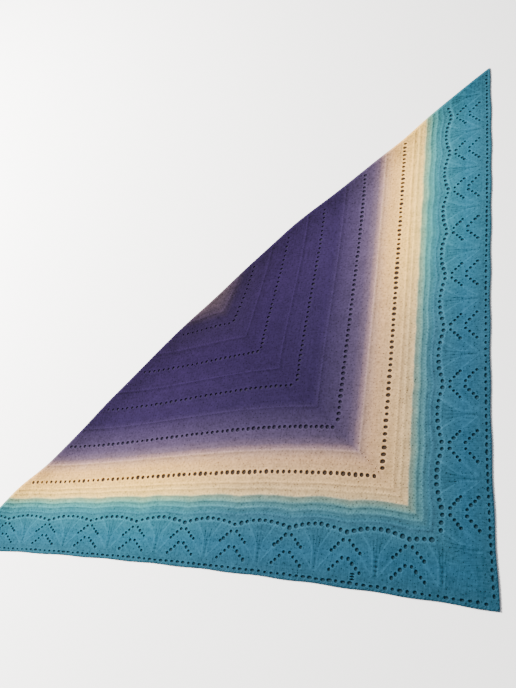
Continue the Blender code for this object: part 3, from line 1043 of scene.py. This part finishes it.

# %% [markdown]
# ## Body, band and border
# The three wide stretches of each half differ only in the rows between which they lie, so one loop
# makes all six. Towards the neck edge the cloth also gets painted shade.

# %% Body, band and border
BIND_OFF_TOP = 0.0030
BORDER_TOP = 0.0897
BAND_TOP = 0.2035
ALL = 1.0
NECK_SHADE = 0.55
NECK_SHADE_REACH = 0.050
STRETCHES = {"border": (BIND_OFF_TOP, BORDER_TOP), "band": (BORDER_TOP, BAND_TOP), "body": (BAND_TOP, ALL)}


def knitted(half, spots, along, depth, rho):
    """The relief, with painted shade towards the neck edge."""
    height, tone = relief(half, along, depth, rho)
    return height, tone - NECK_SHADE * hump(neck_gap(spots), NECK_SHADE_REACH)


shells = {}
for half in HALVES:
    for stretch, (low, high) in STRETCHES.items():
        holes = [eyelet for eyelet in EYELETS[half] if low < eyelet.depth < high]
        loops = [strip_loop(half, low, high)] + [wound(ring(half, eyelet, 1.0), -1) for eyelet in holes]
        top = min(high, spine_top(EDGE_WIDTH) + 0.001)
        fine = stitch_points(half, low, top, LEGS, 2, holes)
        coarse = stitch_points(half, low, top, 2, 1, [])
        name = f"{stretch}_{half}"
        shells[name] = shell(f"knitted_{name}", half, loops, fine, coarse, knitted)

# %% [markdown]
# ## Edges
# Along the lower edges the last loops are bound off as a chain, which lies like a slanted cord and
# swells a little under each dip of the lace. The neck edge is a narrow strip of purl bumps with a
# rolled rim. Both are the same rounded roll, over which a row of slanted bumps runs.

# %% Surfaces of the edges
SCALLOP = 0.0012
EDGE_LEVEL = 0.0006
CHAIN_RISE = 0.0003
CHAIN_ROLL = 0.0005
CHAIN_SLANT = 0.9
NECK_BUMP = 0.0042
NECK_ROLL = 0.0004
NECK_SLANT = 0.8
NECK_ROUNDED = 2.2


def rolled(share, rounded, roll, bumps):
    """Height over an edge: rounded at its rim, rolled up in the middle and with bumps on top."""
    from_rim = np.minimum(rounded * share, 1.0)
    roundness = np.sqrt(np.clip(from_rim * (2.0 - from_rim), 0.0, 1.0))
    return EDGE_LEVEL + (BASE - EDGE_LEVEL) * roundness + CHAIN_RISE * bumps + roll * np.sin(np.pi * share)


def bound_off(half, spots, along, depth, rho):
    """A slanted chain over a rounded edge."""
    repeat = np.interp(along, *REPEATS[half][::-1])
    share = np.clip((depth + SCALLOP * scalloped(repeat)) / (BIND_OFF_TOP + SCALLOP), 0.0, 1.0)
    chain = np.cos(2 * np.pi * (repeat * REPEAT + CHAIN_SLANT * share)) * np.sin(np.pi * share)
    # Painted light on the chain: painted highlights on its bumps and painted shade between them.
    return rolled(share, 1.0, CHAIN_ROLL, chain), 0.35 * chain


def neck_strip(half, spots, along, depth, rho):
    """A rolled rim and a line of purl bumps."""
    inset = neck_line(spots[:, 0]) - spots[:, 1]
    share = np.clip(inset / EDGE_WIDTH, 0.0, 1.0)
    bumps = np.cos(2 * np.pi * (spots[:, 0] / NECK_BUMP + NECK_SLANT * share)) * np.sin(np.pi * share)
    # Painted light on the strip: painted highlights and shade on its bumps, and the whole strip a little
    # paler as a painted highlight along the edge.
    return rolled(share, NECK_ROUNDED, NECK_ROLL, bumps), 0.3 * bumps + 0.15


print("one bump every", round(1000 * NECK_BUMP, 1), "mm along the neck edge")

# %% [markdown]
# These edges have no eyelets and no rows of their own, so plain even points are enough, in a grid that
# is finer than the bumps. Their outlines are the outer edge of the shawl on one side and the outline
# of the wide stretches on the other.

# %% Bound-off edge and neck edge
FINE_STEP = 0.0008


def bind_off_loop(half):
    """The outline of the bound-off edge, scalloped on its outer side."""
    inset = EDGE_WIDTH + 0.5 * SEAM_GAP
    top = BIND_OFF_TOP - 0.5 * SEAM_GAP
    wing, upper_wing = crossing(half, np.array([0.0]), inset), crossing(half, np.array([top]), inset)
    pieces = [spine_points(half, np.array([0.0])), row_line(half, 0.0, SCALLOP), wing]
    pieces += [upper_wing, row_line(half, top)[::-1], spine_points(half, np.array([top]))]
    return wound(np.concatenate(pieces), 1)


def neck_loop(half):
    """The outline of the neck strip, from the spine to the tip of the wing and back."""
    inset = EDGE_WIDTH - 0.5 * SEAM_GAP
    tip, inner_tip = crossing(half, np.array([0.0]), 0.0), crossing(half, np.array([0.0]), inset)
    top = spine_points(half, np.array([spine_top(0.0)]))
    inner_top = spine_points(half, np.array([spine_top(inset)]))
    pieces = [top, along_neck(top[0, 0], tip[0, 0], 0.0, FINE_STEP), tip, inner_tip]
    pieces += [along_neck(inner_tip[0, 0], inner_top[0, 0], inset, FINE_STEP), inner_top]
    return wound(np.concatenate(pieces), 1)


def bind_off_points(half):
    """A grid that keeps clear of the scallops."""
    alongs = np.arange(-0.02, LONGEST, FINE_STEP)
    levels = np.arange(-SCALLOP, BIND_OFF_TOP, FINE_STEP)
    along, depth = (grid.ravel() for grid in np.meshgrid(alongs, levels))
    edge = -SCALLOP * scalloped(np.interp(along, *REPEATS[half][::-1]))
    keep = fits(half, along, depth, -ALL, BIND_OFF_TOP, 0.5 * FINE_STEP)
    keep &= depth > edge + 0.5 * FINE_STEP
    return place(half, along[keep], depth[keep])


def neck_points(half):
    """A grid that keeps clear of the tip of the wing, which tapers, and of the spine."""
    left_end, right_end = neck_loop(half)[:, 0].min(), neck_loop(half)[:, 0].max()
    left_clear, right_clear = (FINE_STEP, EDGE_WIDTH) if half == "right" else (EDGE_WIDTH, FINE_STEP)
    places = np.arange(left_end + left_clear, right_end - right_clear, FINE_STEP)
    insets = np.arange(FINE_STEP, EDGE_WIDTH - 0.5 * FINE_STEP, FINE_STEP)
    x, inset = (grid.ravel() for grid in np.meshgrid(places, insets))
    return np.stack((x, neck_line(x, inset)), -1)


EDGES = {
    "bind_off": (bind_off_loop, bind_off_points, bound_off),
    "neck_edge": (neck_loop, neck_points, neck_strip),
}
for half in HALVES:
    for edge, (outline, inner_points, surface) in EDGES.items():
        name, points = f"{edge}_{half}", inner_points(half)
        shells[name] = shell(f"knitted_{name}", half, [outline(half)], points, points[::3], surface)
print(sum(len(piece.data.polygons) for piece in shells.values()), "triangles in all")

# %% [markdown]
# ## The ground under the eyelets
# Through the eyelets of a shawl that lies flat one sees shade, tinted by the wool all round it. A dark
# sheet just under each stretch of the cloth stands for that shade and leaves the floor round it pale.

# %% Shade under the cloth
SHADE_LEVEL = -0.0006
SHADES = {"border": (0.006, 0.046, 0.072), "band": (0.036, 0.021, 0.011), "body": (0.010, 0.006, 0.026)}

for stretch, (low, high) in STRETCHES.items():
    tint = plain(f"shade_of_{stretch}", SHADES[stretch], 1.0)
    for half in HALVES:
        outline = strip_loop(half, low, high) - ORIGIN
        shade = flat_piece(f"shade_{stretch}_{half}", outline, SHADE_LEVEL, tint)
        shade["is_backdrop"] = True
        lit_cloth.objects.link(shade)
print("shade under", len(STRETCHES), "stretches of each half")

# %% [markdown]
# ## Dye and yarn
# A shader is a net of small sums, which is tedious to wire by hand and hard to read back. So we write
# it as arithmetic: a small class wraps a socket, and its operators add the Math nodes. Any other node
# comes from one method that sets the node up and then fills its sockets.

# %% Shader arithmetic
class Value:
    """A socket of a material's nodes. Arithmetic on it adds Math nodes."""

    def __init__(self, tree, socket=None):
        self.tree = tree
        self.socket = socket

    def node(self, kind, settings, sockets, output=0):
        """Adds a node: its settings come first, then a value or a link for each named socket."""
        made = self.tree.nodes.new(kind)
        for name, setting in settings.items():
            if name == "stops":
                fill_ramp(made.color_ramp, setting)
            else:
                setattr(made, name, setting)
        for name, given in sockets.items():
            if isinstance(given, Value):
                self.tree.links.new(given.socket, made.inputs[name])
            else:
                made.inputs[name].default_value = given
        return Value(self.tree, made.outputs[output])

    def maths(self, operation, *numbers):
        return self.node("ShaderNodeMath", {"operation": operation}, dict(enumerate(numbers)))

    def __add__(self, other):
        return self.maths("ADD", self, other)

    __radd__ = __add__

    def __mul__(self, other):
        return self.maths("MULTIPLY", self, other)

    __rmul__ = __mul__

    def __sub__(self, other):
        return self.maths("SUBTRACT", self, other)

    def __rsub__(self, other):
        return self.maths("SUBTRACT", other, self)


def fill_ramp(ramp, stops):
    """Sets a ramp's stops from pairs of a place and a colour."""
    while len(ramp.elements) < len(stops):
        ramp.elements.new(1.0)
    for element, (place_on_ramp, colour) in zip(ramp.elements, stops):
        element.position = place_on_ramp
        element.color = (*colour, 1.0)


print("operators:", sorted(name.strip("_") for name in vars(Value) if name.startswith("__r")))

# %% [markdown]
# The yarn was dyed in one long gradient, so its colour depends only on how far the knitting has gone:
# the count of rows. A ramp over the rows gives it, and every stretch of the shawl reads the same ramp.
# Dye creeps along the yarn, so two kinds of noise bring each colour a few millimetres early or late.

# %% The dye
DYE_LENGTH = 0.5700
STREAK_CREEP = 0.006
PATCH_CREEP = 0.010
DYE = (
    (0.0100, (0.021, 0.099, 0.146)),
    (0.0400, (0.018, 0.114, 0.175)),
    (0.0800, (0.025, 0.141, 0.184)),
    (0.0905, (0.033, 0.161, 0.208)),
    (0.0925, (0.024, 0.150, 0.187)),
    (0.1020, (0.048, 0.208, 0.231)),
    (0.1035, (0.055, 0.244, 0.247)),
    (0.1125, (0.069, 0.220, 0.203)),
    (0.1140, (0.120, 0.316, 0.238)),
    (0.1235, (0.249, 0.359, 0.215)),
    (0.1255, (0.824, 0.556, 0.173)),
    (0.1500, (0.920, 0.544, 0.130)),
    (0.1850, (0.722, 0.401, 0.139)),
    (0.2030, (0.426, 0.259, 0.171)),
    (0.2060, (0.323, 0.193, 0.175)),
    (0.2150, (0.132, 0.089, 0.124)),
    (0.2280, (0.079, 0.055, 0.101)),
    (0.2500, (0.049, 0.034, 0.078)),
    (0.3000, (0.022, 0.013, 0.049)),
    (0.4200, (0.017, 0.009, 0.040)),
    (0.5000, (0.016, 0.009, 0.033)),
    (0.5450, (0.064, 0.043, 0.054)),
)


def dyed(here, row, streak, patch):
    """The colour of the yarn at a row."""
    dyed_at = row * (ROW / DYE_LENGTH) + streak * STREAK_CREEP + patch * PATCH_CREEP
    stops = [(depth / DYE_LENGTH, colour) for depth, colour in DYE]
    return here.node("ShaderNodeValToRGB", {"stops": stops}, {"Fac": dyed_at})


print("the dye passes through", len(DYE), "colours")

# %% [markdown]
# Near the point of the shawl the wool of the photo is duller, darker and a little bluer, most of all
# in the pale band, and here that is painted shade. The count of stitches says how near a spot is, and
# the count of rows how far it is from the middle of the band.

# %% Painted shade near the point
POINT_SHADE_REACH = (40.0, 95.0)
BAND_MIDDLE = 52.0
STRONGEST = 1.4
FADING = 0.0167
WEAKEST = 0.5
SHADE_DULLING = 0.12
SHADE_DARKENING = 0.33
SHADE_BLUEING = 0.17


def shade_near_point(here, stitch, row):
    """How strong the painted shade near the point is: above 1 in the band beside the point, 0 far along
    the rows.
    """
    reach = {"Value": stitch, "From Min": POINT_SHADE_REACH[0], "From Max": POINT_SHADE_REACH[1]}
    falling = reach | {"To Min": 1.0, "To Max": 0.0}
    beside = here.node("ShaderNodeMapRange", {"interpolation_type": "SMOOTHSTEP"}, falling)
    from_band = here.maths("ABSOLUTE", row - BAND_MIDDLE)
    return beside * here.maths("MAXIMUM", STRONGEST - from_band * FADING, WEAKEST)


print("the wool is even again", round((POINT_SHADE_REACH[1] - POINT_SHADE_REACH[0]) / REPEAT, 1), "repeats further on")

# %% [markdown]
# Wool is never quite even. Noise of four sizes gives patches, flecks, single fibres and streaks that
# run along the rows, and small dots of painted shade stand for dark gaps between the stitches. The two
# legs of each stitch are drawn once more here, as a bump and as painted light, because the mesh is too
# coarse for a sharp leg. An image of knitting would be quicker, but it would repeat, and it would not
# follow the waves of the lace.

# %% Unevenness and stitches
Noise = namedtuple("Noise", "scale detail strength")
STREAKS = Noise(1.0, 2.0, 0.35)
PATCHES = Noise(35.0, 3.0, 0.40)
FLECKS = Noise(260.0, 2.0, 0.85)
FIBRES = Noise(900.0, 3.0, 0.30)
STREAK_STRETCH = (0.03, 0.9)
GAP_SCALE = 115.0
GAP_SHARPNESS = 8.0
LEG_SHARPNESS = 6.0


def noise(here, spot, kind):
    """Noise about 0."""
    form = {"Vector": spot, "Scale": kind.scale, "Detail": kind.detail}
    return here.node("ShaderNodeTexNoise", {}, form) - 0.5


def shade_in_gaps(here, spot):
    """1 in the middle of small dots of painted shade, for gaps strewn over the cloth."""
    cells = {"Vector": spot, "Scale": GAP_SCALE}
    from_gap = here.node("ShaderNodeTexVoronoi", {"voronoi_dimensions": "2D"}, cells)
    return here.maths("MAXIMUM", 1.0 - from_gap * GAP_SHARPNESS, 0.0)


def legs_of_stitches(here, stitch, row):
    """1 along the middle of the two legs of each stitch."""
    across = here.maths("ABSOLUTE", here.maths("FRACT", stitch) - 0.5)
    leg = (0.5 - LEG_PLACE) - LEG_LEAN * here.maths("COSINE", row * (2 * math.pi))
    return here.maths("MAXIMUM", 1.0 - here.maths("ABSOLUTE", across - leg) * LEG_SHARPNESS, 0.0)


print("fibres are about", round(1000 / FIBRES.scale, 1), "mm apart")

# %% [markdown]
# Now the wool itself. The dye is dulled near the point as painted shade and then multiplied by a grey,
# which holds painted light and shade, from the relief, the legs, the gaps and the point, and the noise
# of the wool. The finest form is a bump. Wool is matt, so it is rough, has hardly any gloss and only a
# trace of sheen.

# %% Wool
FACTOR, FIRST, SECOND, MIXED = 0, 6, 7, 2
COLOURS = {"data_type": "RGBA"}
PLAIN_SHADE = 0.90
PAINTED_LIGHT_STRENGTH = 0.55
LEG_SHADE = 0.10
MEAN_LEG = 0.4
GAP_SHADE = 0.95
FAR_SHADE = 1.06
BUMP_STRENGTH = 0.6
BUMP_DEPTH = 0.0004
FINISH = {"Roughness": 0.95, "Sheen Weight": 0.02, "Sheen Roughness": 0.5, "Specular IOR Level": 0.05}


def yarn(name):
    """Wool in the dye of its rows, with painted shade in hollows and painted highlights on ridges."""
    material = bpy.data.materials.new(name)
    material.use_nodes = True
    tree = material.node_tree
    shader = tree.nodes["Principled BSDF"]
    here = Value(tree)
    knit = here.node("ShaderNodeUVMap", {"uv_map": "knit"}, {})
    stitch = here.node("ShaderNodeSeparateXYZ", {}, {"Vector": knit}, 0)
    row = here.node("ShaderNodeSeparateXYZ", {}, {"Vector": knit}, 1)
    # The painted light and shade that each shell keeps as an attribute.
    tone = here.node("ShaderNodeAttribute", {"attribute_name": "tone"}, {}, 2)
    spot = here.node("ShaderNodeTexCoord", {}, {}, 3)
    squeezed = {"X": stitch * STREAK_STRETCH[0], "Y": row * STREAK_STRETCH[1]}
    streak = noise(here, here.node("ShaderNodeCombineXYZ", {}, squeezed), STREAKS)
    patch, fleck, fibre = (noise(here, spot, kind) for kind in (PATCHES, FLECKS, FIBRES))
    point_shade = shade_near_point(here, stitch, row)
    dye = dyed(here, row, streak, patch)
    dull = here.node("ShaderNodeRGBToBW", {}, {"Color": dye})
    # Painted shade near the point dulls the dye towards its grey.
    to_shade_dull = {FACTOR: point_shade * SHADE_DULLING, FIRST: dye, SECOND: dull}
    shade_dulled_dye = here.node("ShaderNodeMix", COLOURS, to_shade_dull, MIXED)
    leg = legs_of_stitches(here, stitch, row)
    mottle = patch * PATCHES.strength + fleck * FLECKS.strength
    mottle = mottle + fibre * FIBRES.strength + streak * STREAKS.strength
    # Painted light and shade of the relief and the legs, with the wool's own random mottle.
    light_and_mottle = PLAIN_SHADE + tone * PAINTED_LIGHT_STRENGTH + (leg - MEAN_LEG) * LEG_SHADE + mottle
    # Dots of painted shade in the gaps between stitches.
    light_and_mottle = light_and_mottle - shade_in_gaps(here, spot) * GAP_SHADE
    # Painted shade near the point: darker and a little bluer.
    light_and_mottle = light_and_mottle * (FAR_SHADE - point_shade * SHADE_DARKENING)
    blue = light_and_mottle * (1.0 + point_shade * SHADE_BLUEING)
    grey = here.node("ShaderNodeCombineColor", {}, {"Red": light_and_mottle, "Green": light_and_mottle, "Blue": blue})
    to_grey = {FACTOR: 1.0, FIRST: shade_dulled_dye, SECOND: grey}
    colour = here.node("ShaderNodeMix", COLOURS | {"blend_type": "MULTIPLY"}, to_grey, MIXED)
    tree.links.new(colour.socket, shader.inputs["Base Color"])
    raised = {"Height": leg * 0.5 + fleck * 0.6 + fibre * 0.5}
    bump = here.node("ShaderNodeBump", {}, raised | {"Strength": BUMP_STRENGTH, "Distance": BUMP_DEPTH})
    tree.links.new(bump.socket, shader.inputs["Normal"])
    for socket, value in FINISH.items():
        shader.inputs[socket].default_value = value
    return material


SLOTS = ("neck_edge", "body", "band", "border", "bind_off")
yarns = {slot: yarn(f"wool_{slot}") for slot in SLOTS}
print(len(yarns["body"].node_tree.nodes), "nodes make the wool of each slot")

# %% [markdown]
# ## Putting it together
# Each shell stands for one solid, rides on the part's only body and takes its finish from the slot of
# its stretch. The outline and flat area of each wide stretch are worked out as well.


def flat_area(loop):
    """The area inside a loop."""
    x, y = loop[:, 0], loop[:, 1]
    return abs(0.5 * float(np.sum(x * np.roll(y, -1) - y * np.roll(x, -1))))


for name, piece in shells.items():
    stretch, half = name.rsplit("_", 1)
    piece.data.materials.append(yarns[stretch])
    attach(piece, "root")
    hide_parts(name)
    lit_cloth.objects.link(piece)

for half in HALVES:
    for stretch, (low, high) in STRETCHES.items():
        loop = strip_loop(half, low, high)
        along, depth = measured(half, loop)
        area = flat_area(loop)

# %% [markdown]
# Last, the box of the shells is measured.

# %% Sizes
low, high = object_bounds()
print("box of the shells:", [round(side, 4) for side in high - low])
